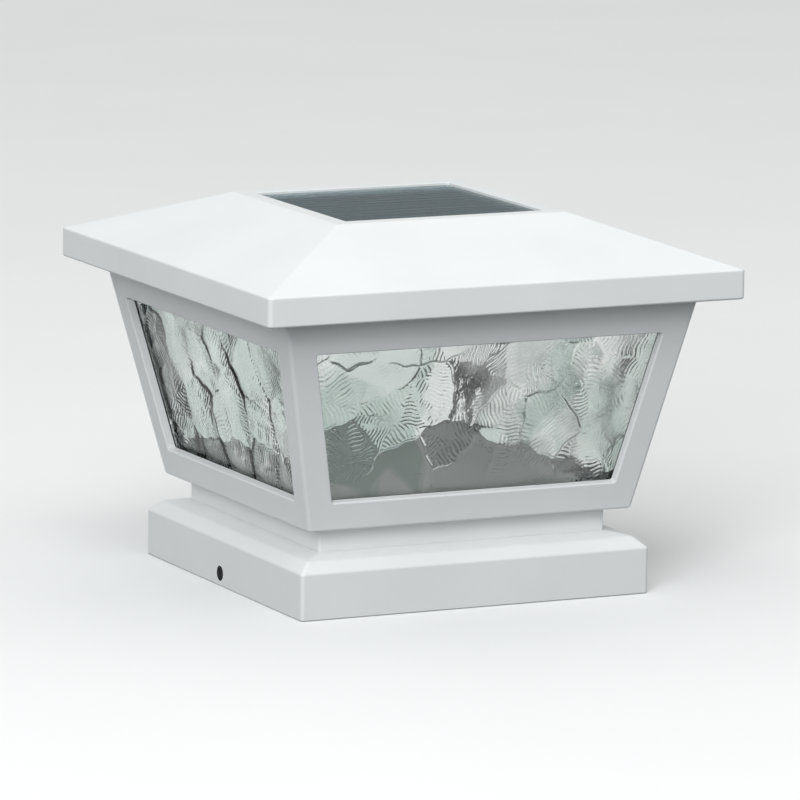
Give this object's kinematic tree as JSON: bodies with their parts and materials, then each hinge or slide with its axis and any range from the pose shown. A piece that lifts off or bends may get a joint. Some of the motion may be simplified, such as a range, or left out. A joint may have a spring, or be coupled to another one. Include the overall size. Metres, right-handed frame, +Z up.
{
  "type": "solar deck post cap light",
  "caption": "Square post cap lantern with flared body, textured glass on four sides and a low hipped roof holding a solar panel, which lifts off to reach its light and batteries.",
  "frame": {"origin": "middle of the skirt's lower rim, on the plane that the rim stands on", "axes": "+Z up, along the post. The front glass faces -Y and the right glass +X"},
  "size_m": [0.1816, 0.1816, 0.1336],
  "materials": {
    "white_metal": "satin white powder coat on cast aluminium",
    "textured_glass": "clear rolled glass with a ridged hammered relief",
    "foam": "matt black foam",
    "spring_steel": "nickel plated sheet and wire",
    "screw_steel": "stainless",
    "panel_tape": "matt adhesive foam tape",
    "board_laminate": "green glass-fibre laminate",
    "solar_cells": "dark blue-grey silicon strips",
    "panel_cover": "clear smooth cover over dark cells",
    "white_plastic": "moulded white plastic, fine grain",
    "black_plastic": "moulded black plastic",
    "rubber": "soft black rubber",
    "led_resin": "yellow phosphor resin",
    "frosted_lens": "frosted diffuser",
    "battery_sleeve": "plain shrink sleeve",
    "red_wire": "red insulation",
    "black_wire": "black insulation"
  },
  "bodies": {
    "base": {"base_skirt": "white_metal", "neck_collar": "white_metal", "base_screws": "screw_steel", "lantern_frame": "white_metal", "glass_front": "textured_glass", "glass_right": "textured_glass", "glass_back": "textured_glass", "glass_left": "textured_glass", "glass_seal_front": "foam", "glass_seal_right": "foam", "glass_seal_back": "foam", "glass_seal_left": "foam", "glass_clips": "spring_steel", "glass_clip_screws": "screw_steel", "roof_seal": "foam", "roof_screws": "screw_steel"},
    "roof": {"roof_cap": "white_metal", "panel_tape": "panel_tape", "panel_board": "board_laminate", "panel_cover": "panel_cover", "solar_cells": "solar_cells", "light_housing": "white_plastic", "housing_cover": "white_plastic", "wire_grommet": "rubber", "housing_screws": "screw_steel", "circuit_board": "board_laminate", "board_screws": "screw_steel", "board_components": "black_plastic", "led_chips": "led_resin", "light_lens": "frosted_lens", "switch_body": "black_plastic", "battery_front": "battery_sleeve", "battery_back": "battery_sleeve", "battery_contacts": "spring_steel", "battery_springs": "spring_steel", "panel_wire_red": "red_wire", "panel_wire_black": "black_wire", "battery_wire_red": "red_wire", "battery_wire_black": "black_wire"},
    "door": {"battery_door": "white_plastic"},
    "knob": {"switch_knob": "black_plastic"}
  },
  "joints": [
    {"name": "roof_lift", "type": "slide", "parent": "base", "child": "roof", "axis": [0, 0, 1], "range_m": [0, 0.07]},
    {"name": "battery_door_hinge", "type": "hinge", "parent": "roof", "child": "door", "pos_m": [0, 0.0555, 0.1], "axis": [1, 0, 0], "range_deg": [0, 95]},
    {"name": "switch_slide", "type": "slide", "parent": "roof", "child": "knob", "axis": [1, 0, 0], "range_m": [0, 0.003]}
  ]
}
